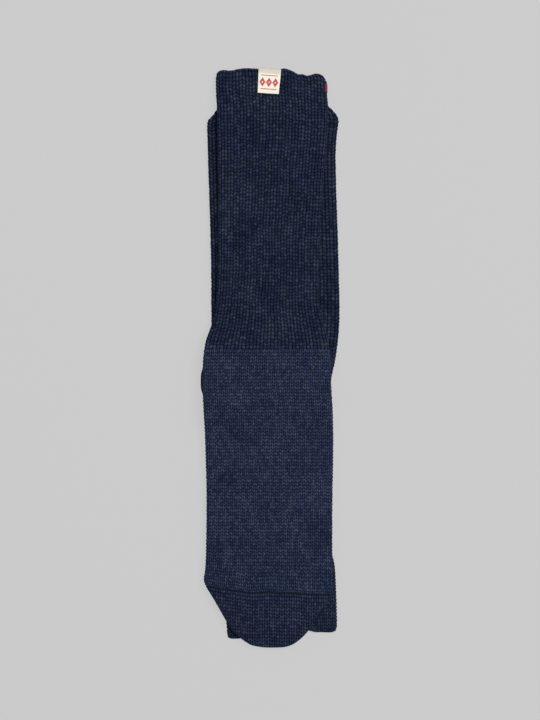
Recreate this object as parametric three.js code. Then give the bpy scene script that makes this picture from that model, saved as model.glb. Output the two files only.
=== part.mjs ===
// A pair of chunky crew socks laid flat, one on top of the other, with their insteps up.
// Each sock is one knitted tube pressed flat: a leg in one-by-one rib, a plain foot, a heel pocket
// folded under the ankle and a plain toe pocket. The upper sock has a small label over its cuff.
// Millimetres. +X is to the right, +Y runs from the toes to the cuffs, +Z is up from the surface.
// The origin is on that surface, under the middle of the pair.
import * as THREE from "three";
import { mergeVertices } from "three/addons/utils/BufferGeometryUtils.js";

// The knitted cloth: its wall, the ribs raised on it, and the hollow inside the flattened tube.
const WALL = 2.0;
const RIB_RISE = 1.0;
const RIB_RISE_AT_ANKLE = 0.25;
const HOLLOW = 0.8;
const FOOT_HEIGHT = 2 * WALL + HOLLOW;
const LEG_HEIGHT = FOOT_HEIGHT + 0.6;
const RIBS_ON_A_FACE = 16;
const SEAM_GAP = 0.3;
const CLOTH_GAP = 0.3;
const ROUND_OFF = 0.6;

// The heel pocket, pressed into two layers under the ankle. HEEL_EDGE lists its side from the bottom
// up: how high, and how far inside the outline.
const HEEL_LAYER = 1.5;
const HEEL_HEIGHT = 2 * HEEL_LAYER;
const HEEL_Y = -17;
const HEEL_REACH = 19;
const HEEL_RAMP = 24;
const HEEL_FLAT = 2;
const HEEL_SIDES = 40;
const HEEL_ROUNDNESS = 0.62;
const HEEL_EDGE = [
  { z: 0, inset: 0.7 },
  { z: 0.5, inset: 0 },
  { z: 1.1, inset: 0 },
  { z: HEEL_LAYER, inset: 0.6 },
  { z: HEEL_HEIGHT - 1.1, inset: 0 },
  { z: HEEL_HEIGHT - 0.5, inset: 0 },
  { z: HEEL_HEIGHT, inset: 0.7 },
];

// How the upper sock's two ends come down past the lower sock.
const CUFF_MOUTH = 2.4;
const CUFF_DEPTH = 26;
const CUFF_DROP_FROM = 188;
const CUFF_DROP_TO = 209;
const TOE_DROP = 1.8;
const TOE_DROP_FROM = -199;
const TOE_DROP_TO = -212;
const SIDE_DROP = 0.9;
const SIDE_DROP_REACH = 8;
const TOE_SETTLE = 0.4;

// The woven label, folded over the upper cuff.
const LABEL_WIDTH = 16;
const LABEL_LENGTH = 18;
const LABEL_TUCK = 8;
const LABEL_THICK = 1.0;
const LABEL_X = 0.4;
const LABEL_TURN = THREE.MathUtils.degToRad(-2.5);

// Steps round a ring and along the cloth. A fold's points are given by their angle in degrees, and a
// rib's by their share of its pitch. The groove between two ribs is one of them.
const FOLD = [
  { angle: -90, groove: 0 },
  { angle: -45, groove: 1 },
  { angle: -14, groove: 0 },
  { angle: 14, groove: 0 },
  { angle: 45, groove: 1 },
  { angle: 76, groove: 0 },
];
const INNER_FOLD = [
  { angle: -90, groove: 0 },
  { angle: 0, groove: 0 },
];
const RIB = [
  { share: 0.22, groove: 0 },
  { share: 0.5, groove: 1 },
  { share: 0.78, groove: 0 },
];
const OUTER_STEPS = 8;
const INNER_STEPS = 6;
const FOLD_TURN = 0.1;
const FACE_TURN = 0.5 - FOLD_TURN;
const ROW_PITCH = 13;
const RAMP_PITCH = 6;

const COLOURS = { knit: 0x1c2740, plain: 0x202d49, label: 0xe9e2cf };
const KNIT_ROUGHNESS = 0.95;
const LABEL_ROUGHNESS = 0.8;

// The side edges of each sock, seen from above, from the cuff to the toe seam. rimSkew and seamSkew
// say how far the rim and the seam leave the straight line across, at the left, middle and right.
// toe lists the toe pocket's rings below the seam: their two ends, and their share of the foot's height.
// heel holds the left and right ends of the folded heel pocket.
const UPPER = {
  rim: 208,
  ribEnd: 7,
  seam: -170,
  rimSkew: { left: 1.0, middle: 2.4, right: -2.0 },
  seamSkew: { left: 3.4, middle: -1.6, right: -3.2 },
  heel: { left: -50.7, right: 43.4 },
  edges: [
    { y: 209, left: -38.4, right: 39.4 },
    { y: 205, left: -39.4, right: 41.2 },
    { y: 193, left: -39.2, right: 41.6 },
    { y: 182, left: -38.7, right: 42.6 },
    { y: 160, left: -38.1, right: 41.7 },
    { y: 135, left: -37.9, right: 39.5 },
    { y: 85, left: -37.8, right: 36.5 },
    { y: 60, left: -38.0, right: 36.0 },
    { y: 40, left: -39.4, right: 36.4 },
    { y: 25, left: -42.4, right: 39.4 },
    { y: 10, left: -47.2, right: 42.8 },
    { y: -16, left: -49.5, right: 44.4 },
    { y: -55, left: -47.3, right: 46.2 },
    { y: -105, left: -46.1, right: 45.6 },
    { y: -154, left: -46.9, right: 45.6 },
    { y: -165, left: -48.1, right: 46.0 },
    { y: -171, left: -46.6, right: 46.3 },
  ],
  toe: [
    { leftX: -46.6, leftY: -167.0, rightX: 46.1, rightY: -173.5, height: 1 },
    { leftX: -41.4, leftY: -175.2, rightX: 41.7, rightY: -177.6, height: 1 },
    { leftX: -36.3, leftY: -184.0, rightX: 37.0, rightY: -184.2, height: 1 },
    { leftX: -31.3, leftY: -192.7, rightX: 32.0, rightY: -191.8, height: 1 },
    { leftX: -26.9, leftY: -199.3, rightX: 27.9, rightY: -198.6, height: 0.98 },
    { leftX: -21.6, leftY: -204.4, rightX: 23.6, rightY: -203.6, height: 0.94 },
    { leftX: -15.4, leftY: -208.0, rightX: 18.2, rightY: -207.8, height: 0.86 },
    { leftX: -8.2, leftY: -210.4, rightX: 12.2, rightY: -210.2, height: 0.66 },
    { leftX: -3.4, leftY: -211.3, rightX: 6.8, rightY: -211.2, height: 0.42 },
  ],
};
const LOWER = {
  rim: 184.6,
  ribEnd: 3,
  seam: -170,
  rimSkew: { left: -0.6, middle: 0.4, right: 1.0 },
  seamSkew: { left: 0, middle: 0, right: 0 },
  heel: { left: -40.5, right: 43.5 },
  edges: [
    { y: 187, left: -35.4, right: 38.6 },
    { y: 178, left: -41.6, right: 48.2 },
    { y: 174, left: -45.2, right: 50.2 },
    { y: 170, left: -45.9, right: 50.3 },
    { y: 163, left: -45.7, right: 49.0 },
    { y: 145, left: -45.1, right: 48.0 },
    { y: 75, left: -42.9, right: 50.0 },
    { y: 32, left: -42.6, right: 50.8 },
    { y: 14, left: -42.2, right: 49.8 },
    { y: 0, left: -42.0, right: 47.8 },
    { y: -14, left: -41.9, right: 44.8 },
    { y: -28, left: -41.6, right: 43.2 },
    { y: -130, left: -41.0, right: 42.8 },
    { y: -151, left: -40.4, right: 47.2 },
    { y: -162, left: -39.6, right: 48.1 },
    { y: -172, left: -38.0, right: 48.6 },
  ],
  toe: [
    { leftX: -38.2, leftY: -170.3, rightX: 48.5, rightY: -170.3, height: 1 },
    { leftX: -35.0, leftY: -180.0, rightX: 48.8, rightY: -179.6, height: 1 },
    { leftX: -31.8, leftY: -190.0, rightX: 48.9, rightY: -188.6, height: 1 },
    { leftX: -31.3, leftY: -197.4, rightX: 48.9, rightY: -195.0, height: 1 },
    { leftX: -31.0, leftY: -201.2, rightX: 48.4, rightY: -197.6, height: 0.92 },
    { leftX: -29.4, leftY: -203.6, rightX: 46.4, rightY: -199.4, height: 0.66 },
    { leftX: -27.0, leftY: -204.4, rightX: 43.4, rightY: -200.2, height: 0.4 },
  ],
};

const { lerp, smoothstep, clamp } = THREE.MathUtils;

// A smooth curve through one column of a table whose rows run down in y.
function column(rows, name) {
  const slopes = rows.map((row, i) => {
    const [before, after] = [rows[Math.max(i - 1, 0)], rows[Math.min(i + 1, rows.length - 1)]];
    return (after[name] - before[name]) / (after.y - before.y);
  });
  return (y) => {
    const below = rows.findIndex((row) => row.y < y);
    const next = below < 0 ? rows.length - 1 : Math.max(below, 1);
    const [a, b] = [rows[next - 1], rows[next]];
    const span = b.y - a.y;
    const t = clamp((y - a.y) / span, 0, 1);
    const ease = t * t * (3 - 2 * t);
    const bend = slopes[next - 1] * t * (1 - t) ** 2 - slopes[next] * t * t * (1 - t);
    return lerp(a[name], b[name], ease) + span * bend;
  };
}

for (const sock of [UPPER, LOWER]) {
  sock.left = column(sock.edges, "left");
  sock.right = column(sock.edges, "right");
}

// How far the folded heel pocket lifts what lies over it.
function heelLift(y) {
  const away = Math.abs(y - HEEL_Y) - HEEL_REACH - HEEL_FLAT;
  return (HEEL_HEIGHT + CLOTH_GAP) * (1 - smoothstep(away, 0, HEEL_RAMP));
}

// How much of its full height a rib has, and the height of a leg, which thins down to the ankle.
const ribShare = (sock, y) => smoothstep(y, sock.ribEnd, sock.ribEnd + ROW_PITCH);
const legHeight = (sock, y) => lerp(FOOT_HEIGHT, LEG_HEIGHT, ribShare(sock, y));

// The height of the lower sock's underside and of its top face.
const lowerBase = (x, y) => heelLift(y);
const lowerTop = (y) => heelLift(y) + legHeight(LOWER, y);

// The height of the upper sock's underside: on the lower sock, down to the surface at the cuff,
// and a little down at the toe and where a side hangs over.
function upperBase(x, y) {
  const lying = lowerTop(y) + CLOTH_GAP + heelLift(y);
  const cuff = smoothstep(y, CUFF_DROP_FROM, CUFF_DROP_TO);
  const toe = TOE_DROP * smoothstep(-y, -TOE_DROP_FROM, -TOE_DROP_TO);
  const outside = clamp(y, LOWER.seam, LOWER.rim - CUFF_DEPTH);
  const over = Math.max(LOWER.left(outside) - x, x - LOWER.right(outside), 0);
  const clear = (1 - cuff) * (1 - heelLift(y) / (HEEL_HEIGHT + CLOTH_GAP));
  const side = SIDE_DROP * clear * Math.min(over / SIDE_DROP_REACH, 1) ** 2;
  return lying * (1 - cuff) - toe - side;
}

// One ring round a flattened tube: the right fold, the top face from right to left, the left fold and
// the bottom face from left to right. across(share) gives a point of the ring's line across the sock,
// and base the height of the sock's underside. The ring runs between the heights low and high above
// that, and lies inside the sock's edges by side. Each point holds its place round the ring, 0 to 1.
function ring({ across, base, low, high, side, fold, steps, ribs = 0 }) {
  const [left, right] = [across(0).x, across(1).x];
  const radius = (high - low) / 2;
  const [foldRight, foldLeft] = [right - side - radius, left + side + radius];
  const points = [];
  const add = (x, z, turn) => {
    const y = across(clamp((x - left) / (right - left), 0, 1)).y;
    points.push({ at: new THREE.Vector3(x, y, base(x, y) + z), turn });
  };
  const addFold = (middle, sign, turn) => {
    for (const { angle, groove } of fold) {
      const lean = THREE.MathUtils.degToRad(angle);
      const reach = sign * (radius - groove * RIB_RISE * ribs);
      const place = turn + (FOLD_TURN * (angle + 90)) / 180;
      add(middle + reach * Math.cos(lean), low + radius + reach * Math.sin(lean), place);
    }
  };
  addFold(foldRight, 1, 0);
  const top = ribs
    ? Array.from({ length: RIBS_ON_A_FACE }, (_, rib) =>
        RIB.map(({ share, groove }) => ({ share: (rib + share) / RIBS_ON_A_FACE, groove })),
      ).flat()
    : Array.from({ length: steps }, (_, i) => ({ share: i / steps, groove: 0 }));
  for (const { share, groove } of top) {
    add(lerp(foldRight, foldLeft, share), high - groove * RIB_RISE * ribs, FOLD_TURN + FACE_TURN * share);
  }
  addFold(foldLeft, -1, 0.5);
  for (let i = 0; i < steps; i++) {
    add(lerp(foldLeft, foldRight, i / steps), low, 0.5 + FOLD_TURN + (FACE_TURN * i) / steps);
  }
  return points;
}

// A closed wall from rings: the outer surface, the inner surface, and rims or caps at the two ends.
function wallGeometry(outer, inner, closedEnd) {
  const positions = [];
  const faces = [];
  const place = (rings) =>
    rings.map((points) =>
      points.map(({ at, turn }) => {
        positions.push(at.x, at.y, at.z);
        return { index: positions.length / 3 - 1, turn };
      }),
    );
  const skin = (rings, inward) => {
    for (let row = 1; row < rings.length; row++) {
      const [above, below] = [rings[row - 1], rings[row]];
      above.forEach((point, i) => {
        const next = (i + 1) % above.length;
        const [a, b, c, d] = [point.index, above[next].index, below[next].index, below[i].index];
        faces.push(...(inward ? [a, c, b, a, d, c] : [a, b, c, a, c, d]));
      });
    }
  };
  // Joins two rings that may have different numbers of points, walking round both at once.
  const rim = (first, second) => {
    let [i, j] = [0, 0];
    const turnAt = (points, k) => (k < points.length ? points[k].turn : 1 + points[k - points.length].turn);
    while (i < first.length || j < second.length) {
      const a = first[i % first.length].index;
      const b = second[j % second.length].index;
      const stepFirst =
        j >= second.length || (i < first.length && turnAt(first, i + 1) <= turnAt(second, j + 1));
      if (stepFirst) {
        i += 1;
        faces.push(a, b, first[i % first.length].index);
      } else {
        j += 1;
        faces.push(a, b, second[j % second.length].index);
      }
    }
  };
  const cap = (points, inward) => {
    const middle = points.reduce(
      (sum, { index }) => sum.add(new THREE.Vector3().fromArray(positions, 3 * index)),
      new THREE.Vector3(),
    );
    middle.divideScalar(points.length);
    positions.push(middle.x, middle.y, middle.z);
    const hub = positions.length / 3 - 1;
    points.forEach((point, i) => {
      const next = points[(i + 1) % points.length].index;
      faces.push(...(inward ? [next, point.index, hub] : [point.index, next, hub]));
    });
  };
  const outside = place(outer);
  const inside = place(inner);
  skin(outside, false);
  skin(inside, true);
  rim(outside[0], inside[0]);
  if (closedEnd) {
    cap(outside.at(-1), false);
    cap(inside.at(-1), true);
  } else {
    rim(inside.at(-1), outside.at(-1));
  }
  const geometry = new THREE.BufferGeometry();
  geometry.setAttribute("position", new THREE.Float32BufferAttribute(positions, 3));
  geometry.setIndex(faces);
  return geometry;
}

// The line across a sock at a station in y. Near the rim and near the toe seam it takes their slant.
function lineAcross(sock, station) {
  const nearRim = smoothstep(station, sock.rim - 2 * CUFF_DEPTH, sock.rim);
  const nearSeam = smoothstep(-station, -sock.seam - CUFF_DEPTH, -sock.seam);
  const slant = (skew, share) =>
    share < 0.5
      ? lerp(skew.left, skew.middle, Math.sin(share * Math.PI))
      : lerp(skew.right, skew.middle, Math.sin(share * Math.PI));
  return (share) => ({
    x: lerp(sock.left(station), sock.right(station), share),
    y: station + nearRim * slant(sock.rimSkew, share) + nearSeam * slant(sock.seamSkew, share),
  });
}

// Stations from one y down to another. They are close together near the rim and where the cloth
// bends over the heel pocket or down to the surface, and both socks share them there.
function stations(sock, from, to) {
  const list = [from];
  const finest = RAMP_PITCH / 2;
  for (let k = Math.ceil(from / finest) - 1; k * finest > to + finest; k--) {
    const y = k * finest;
    const overHeel = Math.abs(y - HEEL_Y) < HEEL_REACH + HEEL_RAMP + ROW_PITCH;
    const bends = overHeel || y > CUFF_DROP_FROM - ROW_PITCH;
    const step = y > sock.rim - ROW_PITCH ? 1 : bends ? 2 : 4;
    if (k % step === 0 && from - y > finest / 3) list.push(y);
  }
  list.push(to);
  return list;
}

// The height of the hollow between the two faces: the upper cuff's mouth stands a little open.
function mouth(sock, y) {
  return sock === UPPER ? (CUFF_MOUTH - HOLLOW) * smoothstep(y, sock.rim - CUFF_DEPTH, sock.rim) : 0;
}

const outerSkin = { low: 0, side: 0, fold: FOLD, steps: OUTER_STEPS };
const innerSkin = { low: WALL, side: WALL, fold: INNER_FOLD, steps: INNER_STEPS };

// A leg's first outer row lies a little inside the rest, which rounds its rim off.
function legGeometry(sock, base) {
  const rows = stations(sock, sock.rim, sock.ribEnd + SEAM_GAP / 2);
  const outer = [rows[0], rows[0] - ROUND_OFF, ...rows.slice(1)].map((y, i) => {
    const ribs = lerp(RIB_RISE_AT_ANKLE, 1, ribShare(sock, y));
    const inset = i === 0 ? ROUND_OFF : 0;
    const high = legHeight(sock, y) + mouth(sock, y) - inset;
    return ring({ ...outerSkin, across: lineAcross(sock, y), base, low: inset, high, side: inset, ribs });
  });
  const inner = rows.map((y) =>
    ring({ ...innerSkin, across: lineAcross(sock, y), base, high: WALL + HOLLOW + mouth(sock, y) }),
  );
  return wallGeometry(outer, inner, false);
}

function footGeometry(sock, base) {
  const rows = stations(sock, sock.ribEnd - SEAM_GAP / 2, sock.seam).map((y) => lineAcross(sock, y));
  const outer = rows.map((across) => ring({ ...outerSkin, across, base, high: FOOT_HEIGHT }));
  const inner = rows.map((across) => ring({ ...innerSkin, across, base, high: WALL + HOLLOW }));
  return wallGeometry(outer, inner, false);
}

// The toe pocket starts a seam's gap below the foot, on the same slanting line, and closes at its tip.
function toeGeometry(sock, base) {
  const start = lineAcross(sock, sock.seam);
  const across = (row) => (share) =>
    row === sock.toe[0]
      ? { x: start(share).x, y: start(share).y - SEAM_GAP }
      : { x: lerp(row.leftX, row.rightX, share), y: lerp(row.leftY, row.rightY, share) };
  const outer = sock.toe.map((row) => {
    const high = FOOT_HEIGHT * row.height;
    const settled = (x, y) => base(x, y) + (FOOT_HEIGHT - high) * TOE_SETTLE;
    return ring({ ...outerSkin, across: across(row), base: settled, high });
  });
  const inner = sock.toe
    .filter((row) => row.height === 1)
    .map((row) => ring({ ...innerSkin, across: across(row), base, high: WALL + HOLLOW }));
  return wallGeometry(outer, inner, true);
}

// The heel pocket, pressed into two layers: rings round its outline, stacked from its underside up,
// with a groove between the layers all round its edge.
function heelGeometry({ left, right }, base) {
  const middle = (left + right) / 2;
  const squared = (value) => Math.sign(value) * Math.abs(value) ** HEEL_ROUNDNESS;
  const positions = [];
  const faces = [];
  for (const { z, inset } of HEEL_EDGE) {
    for (let i = 0; i < HEEL_SIDES; i++) {
      const angle = (2 * Math.PI * i) / HEEL_SIDES;
      const x = middle + ((right - left) / 2 - inset) * squared(Math.cos(angle));
      const y = HEEL_Y + (HEEL_REACH - inset) * squared(Math.sin(angle));
      positions.push(x, y, base + z);
    }
  }
  const [under, over] = [positions.length / 3, positions.length / 3 + 1];
  positions.push(middle, HEEL_Y, base, middle, HEEL_Y, base + HEEL_HEIGHT);
  const last = (HEEL_EDGE.length - 1) * HEEL_SIDES;
  for (let i = 0; i < HEEL_SIDES; i++) {
    const next = (i + 1) % HEEL_SIDES;
    for (let level = 0; level < last; level += HEEL_SIDES) {
      const [a, b] = [level + i, level + next];
      faces.push(a, b, b + HEEL_SIDES, a, b + HEEL_SIDES, a + HEEL_SIDES);
    }
    faces.push(next, i, under, last + i, last + next, over);
  }
  const geometry = new THREE.BufferGeometry();
  geometry.setAttribute("position", new THREE.Float32BufferAttribute(positions, 3));
  geometry.setIndex(faces);
  return geometry;
}

// The label: a strip folded over the cuff's rim. Outside it lies on the ribs, and inside it hangs in
// the middle of the mouth. Both sides follow the rows of points that the cuff itself has.
function labelGeometry() {
  const rows = stations(UPPER, UPPER.rim, UPPER.rim - CUFF_DEPTH);
  const along = (heightAt, from, to) => {
    const line = rows.map((station) => {
      const y = lineAcross(UPPER, station)(0.5).y;
      return new THREE.Vector2(y, upperBase(0, y) + heightAt(station));
    });
    const level = (y) => {
      const next = Math.max(line.findIndex((point) => point.x <= y), 1);
      const [a, b] = [line[next - 1], line[next]];
      return new THREE.Vector2(y, lerp(a.y, b.y, (a.x - y) / (a.x - b.x)));
    };
    return [level(from), ...line.filter((point) => point.x < from && point.x > to), level(to)];
  };
  const over = lineAcross(UPPER, UPPER.rim)(0.5).y + CLOTH_GAP;
  const outside = (y) => legHeight(UPPER, y) + mouth(UPPER, y) + CLOTH_GAP;
  const inside = (y) => WALL + (HOLLOW + mouth(UPPER, y) - LABEL_THICK) / 2;
  const upper = along(outside, over, over - LABEL_LENGTH);
  const tucked = along(inside, over, over - LABEL_TUCK);
  const raised = (points) => points.map((point) => new THREE.Vector2(point.x, point.y + LABEL_THICK));
  const bend = over + LABEL_THICK;
  const shape = new THREE.Shape([
    ...raised(upper).reverse(),
    new THREE.Vector2(bend, upper[0].y + LABEL_THICK / 2),
    new THREE.Vector2(bend, tucked[0].y + LABEL_THICK / 2),
    ...tucked,
    ...raised(tucked).reverse(),
    ...upper,
  ]);
  const extruded = new THREE.ExtrudeGeometry(shape, { depth: LABEL_WIDTH, bevelEnabled: false });
  extruded.deleteAttribute("normal");
  extruded.deleteAttribute("uv");
  const geometry = mergeVertices(extruded);
  // The shape lies in the part's YZ plane, so its depth runs along X.
  const alongX = new THREE.Matrix4().makeBasis(
    new THREE.Vector3(0, 1, 0),
    new THREE.Vector3(0, 0, 1),
    new THREE.Vector3(1, 0, 0),
  );
  geometry.applyMatrix4(alongX);
  geometry.translate(-LABEL_WIDTH / 2, -over, 0);
  geometry.rotateZ(LABEL_TURN);
  geometry.translate(LABEL_X, over, 0);
  return geometry;
}

function clothMesh(name, geometry, colour, roughness) {
  geometry.computeVertexNormals();
  const mesh = new THREE.Mesh(geometry, new THREE.MeshStandardMaterial({ color: colour, roughness }));
  mesh.name = name;
  return mesh;
}

const UPPER_HEEL_BASE = HEEL_HEIGHT + CLOTH_GAP + FOOT_HEIGHT + CLOTH_GAP;
const pair = new THREE.Group();
pair.add(
  clothMesh("lower_heel", heelGeometry(LOWER.heel, 0), COLOURS.plain, KNIT_ROUGHNESS),
  clothMesh("lower_leg", legGeometry(LOWER, lowerBase), COLOURS.knit, KNIT_ROUGHNESS),
  clothMesh("lower_foot", footGeometry(LOWER, lowerBase), COLOURS.plain, KNIT_ROUGHNESS),
  clothMesh("lower_toe", toeGeometry(LOWER, lowerBase), COLOURS.plain, KNIT_ROUGHNESS),
  clothMesh("upper_heel", heelGeometry(UPPER.heel, UPPER_HEEL_BASE), COLOURS.plain, KNIT_ROUGHNESS),
  clothMesh("upper_leg", legGeometry(UPPER, upperBase), COLOURS.knit, KNIT_ROUGHNESS),
  clothMesh("upper_foot", footGeometry(UPPER, upperBase), COLOURS.plain, KNIT_ROUGHNESS),
  clothMesh("upper_toe", toeGeometry(UPPER, upperBase), COLOURS.plain, KNIT_ROUGHNESS),
  clothMesh("upper_label", labelGeometry(), COLOURS.label, LABEL_ROUGHNESS),
);

export default pair;
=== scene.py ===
# %% [markdown]
# # A pair of chunky crew socks laid flat
#
# Two knitted socks lie flat with their insteps up, one a little askew on the other. Each sock is one
# knitted tube: a leg in one-by-one rib, a plain foot, a heel pocket folded under the ankle and a
# plain toe pocket that is linked across the instep. The frame holds plain solids of these pieces.
# This script knits each piece again with every stitch raised, and dyes, sews, lights and frames them.

# %% Load the frame
import math
from collections import namedtuple

import bpy
import mathutils
import numpy as np
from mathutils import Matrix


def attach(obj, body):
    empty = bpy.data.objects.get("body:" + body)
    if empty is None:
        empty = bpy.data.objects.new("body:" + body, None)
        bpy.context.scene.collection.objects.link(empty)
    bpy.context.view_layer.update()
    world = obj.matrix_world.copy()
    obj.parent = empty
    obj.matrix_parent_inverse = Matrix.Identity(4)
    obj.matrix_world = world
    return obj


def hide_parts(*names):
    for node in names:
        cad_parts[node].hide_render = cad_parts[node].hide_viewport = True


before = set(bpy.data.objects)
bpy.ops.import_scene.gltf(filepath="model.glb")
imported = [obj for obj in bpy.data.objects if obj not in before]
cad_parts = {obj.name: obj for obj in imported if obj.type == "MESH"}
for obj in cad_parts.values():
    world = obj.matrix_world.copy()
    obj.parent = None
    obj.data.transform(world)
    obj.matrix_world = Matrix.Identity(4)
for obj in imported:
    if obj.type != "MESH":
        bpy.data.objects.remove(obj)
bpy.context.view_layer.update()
MM = 0.001
print("solids:", sorted(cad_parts))

# %% [markdown]
# ## The camera
#
# The picture looks straight down on the pair, and everything in it is flat, so one scale holds all
# over it: 0.73 mm to a pixel of the 540 by 720 picture. A long lens far above keeps it so. The
# camera could be turned by hand until the outline fits, but the scale gives its height at once.

# %% Camera
PICTURE = (540, 720)
MM_TO_A_PIXEL = 0.73
VIEW_CENTRE = (0.14, -1.46)
LENS = 85
SENSOR_HEIGHT = 24
MEAN_HEIGHT = 9.0

camera_height = LENS * PICTURE[1] * MM_TO_A_PIXEL / SENSOR_HEIGHT + MEAN_HEIGHT
bpy.ops.object.camera_add(
    location=(VIEW_CENTRE[0] * MM, VIEW_CENTRE[1] * MM, camera_height * MM), rotation=(0, 0, 0)
)
camera = bpy.context.object
camera.name = "camera_above"
camera.data.sensor_fit = "VERTICAL"
camera.data.sensor_height = SENSOR_HEIGHT
camera.data.lens = LENS
bpy.context.scene.camera = camera
print(f"camera {camera_height:.0f} mm above the surface")

# %% [markdown]
# ## The sizes
#
# A sock pressed flat is described well by its two side edges as seen from above, read down the sock
# in a short table, and by how high it is. The values between two rows come from a smooth curve that
# goes through all of them. Everything here is in millimetres, in the frame's own axes: X to the
# right, Y from toes to cuffs, Z up from the surface.

# %% Edge tables
Edge = namedtuple("Edge", "y left right")
Rim = namedtuple("Rim", "left middle right")
Tip = namedtuple("Tip", "x y")
Sock = namedtuple("Sock", "name rim rib_end seam rim_skew seam_skew heel edges tip side_lines lip")

UPPER = Sock(
    name="upper",
    rim=208.75,
    rib_end=7,
    seam=-170,
    rim_skew=Rim(1.0, 2.4, -2.0),
    seam_skew=Rim(3.4, -1.6, -3.2),
    heel=(-50.8, 43.4),
    edges=[
        Edge(209, -38.4, 39.4),
        Edge(205, -39.4, 41.6),
        Edge(193, -39.3, 42.0),
        Edge(182, -38.7, 42.6),
        Edge(160, -38.1, 41.7),
        Edge(135, -37.9, 39.5),
        Edge(85, -37.8, 36.5),
        Edge(60, -38.0, 36.0),
        Edge(40, -39.4, 36.4),
        Edge(25, -42.4, 39.4),
        Edge(10, -47.2, 42.8),
        Edge(-16, -48.9, 44.4),
        Edge(-55, -47.3, 46.2),
        Edge(-105, -46.1, 45.6),
        Edge(-154, -46.9, 45.6),
        Edge(-165, -48.1, 46.0),
        Edge(-171, -46.6, 46.3),
    ],
    tip=[
        Tip(-46.6, -167.0), Tip(-41.4, -175.2), Tip(-36.3, -184.0), Tip(-31.3, -192.7),
        Tip(-26.9, -199.3), Tip(-21.6, -204.4), Tip(-15.2, -208.9), Tip(-12.6, -210.0),
        Tip(-8.2, -210.9), Tip(-3.4, -211.5), Tip(6.8, -211.5), Tip(12.2, -210.9),
        Tip(18.2, -208.4), Tip(23.6, -204.0), Tip(27.9, -199.2), Tip(32.0, -191.8),
        Tip(37.0, -184.2), Tip(41.7, -177.6), Tip(46.3, -173.4),
    ],
    side_lines=[Edge(-160, -46.6, 46.3), Edge(-212, -46.6, 46.3)],
    lip=[
        Tip(-39.4, 0.2), Tip(-34.5, 1.3), Tip(-28.7, 0.6), Tip(-22.9, 1.5),
        Tip(-17.0, 1.8), Tip(-11.0, 1.3), Tip(-9.0, 1.2), Tip(-7.4, 0.6),
        Tip(-4.0, 0.4), Tip(4.6, 0.1), Tip(6.8, 0.4), Tip(9.2, 1.5),
        Tip(12.2, 1.5), Tip(15.0, 0.8), Tip(18.0, -0.2), Tip(21.0, -1.6),
        Tip(24.0, -1.0), Tip(26.8, -1.7), Tip(29.6, -0.8), Tip(32.6, 0.6),
        Tip(35.5, 1.1), Tip(38.4, 0.6), Tip(41.2, -0.4),
    ],
)
LOWER = Sock(
    name="lower",
    rim=184.6,
    rib_end=3,
    seam=-170,
    rim_skew=Rim(0.2, 0.8, 1.3),
    seam_skew=Rim(0, 0, 0),
    heel=(-40.5, 43.5),
    edges=[
        Edge(187, -35.4, 38.6),
        Edge(178, -41.6, 48.2),
        Edge(174, -45.2, 50.2),
        Edge(170, -45.9, 50.3),
        Edge(163, -45.8, 49.2),
        Edge(145, -45.3, 48.3),
        Edge(75, -43.2, 50.3),
        Edge(32, -42.9, 51.1),
        Edge(14, -42.5, 50.1),
        Edge(0, -42.0, 48.1),
        Edge(-14, -41.9, 45.1),
        Edge(-28, -41.6, 43.2),
        Edge(-130, -41.0, 42.8),
        Edge(-151, -40.4, 47.2),
        Edge(-162, -39.6, 48.1),
        Edge(-172, -38.0, 48.6),
    ],
    tip=[
        Tip(-31.4, -201.0), Tip(-30.8, -203.4), Tip(-29.4, -205.0), Tip(-26.4, -205.5),
        Tip(-19.0, -205.0), Tip(28.0, -199.6), Tip(33.0, -200.6), Tip(38.2, -200.7),
        Tip(45.4, -200.7), Tip(48.2, -199.2), Tip(49.2, -196.4),
    ],
    side_lines=[
        Edge(-170, -38.2, 48.6),
        Edge(-185, -33.4, 48.9),
        Edge(-198, -31.3, 49.2),
        Edge(-206, -31.2, 49.2),
    ],
    lip=[Tip(-45, 0.8), Tip(-38, 1.0), Tip(-30, 0.2), Tip(35, 0.3), Tip(44, 1.2), Tip(50, 0.9)],
)


def smooth(value, low, high):
    share = np.clip((value - low) / (high - low), 0, 1)
    return share * share * (3 - 2 * share)


def mix(a, b, share):
    return a + (b - a) * share


def read_column(rows, key, name, at):
    """A smooth curve through one column of a table, read where the key column has the values at."""
    keys = np.array([getattr(row, key) for row in rows], float)
    values = np.array([getattr(row, name) for row in rows], float)
    if keys[0] > keys[-1]:
        keys, values = keys[::-1], values[::-1]
    before = np.maximum(np.arange(len(keys)) - 1, 0)
    after = np.minimum(np.arange(len(keys)) + 1, len(keys) - 1)
    slopes = (values[after] - values[before]) / (keys[after] - keys[before])
    high = np.clip(np.searchsorted(keys, at), 1, len(keys) - 1)
    low = high - 1
    span = keys[high] - keys[low]
    t = np.clip((at - keys[low]) / span, 0, 1)
    bend = slopes[low] * t * (1 - t) ** 2 - slopes[high] * t * t * (1 - t)
    return mix(values[low], values[high], t * t * (3 - 2 * t)) + span * bend


def edges_at(rows, y):
    return read_column(rows, "y", "left", y), read_column(rows, "y", "right", y)


ankle_left, ankle_right = edges_at(UPPER.edges, 0.0)
print(f"upper sock across its ankle: {ankle_right - ankle_left:.1f} mm")

# %% [markdown]
# ## How the pair lies
#
# Cloth takes its height from what lies under it. The heel pockets are pressed flat under the ankles
# and lift all that crosses them. The upper sock lies on the lower one, and comes down to the surface
# past its cuff and a little at its toe. These few functions are the ones that shaped the solids, so
# each knitted piece lies where its solid is.

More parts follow.
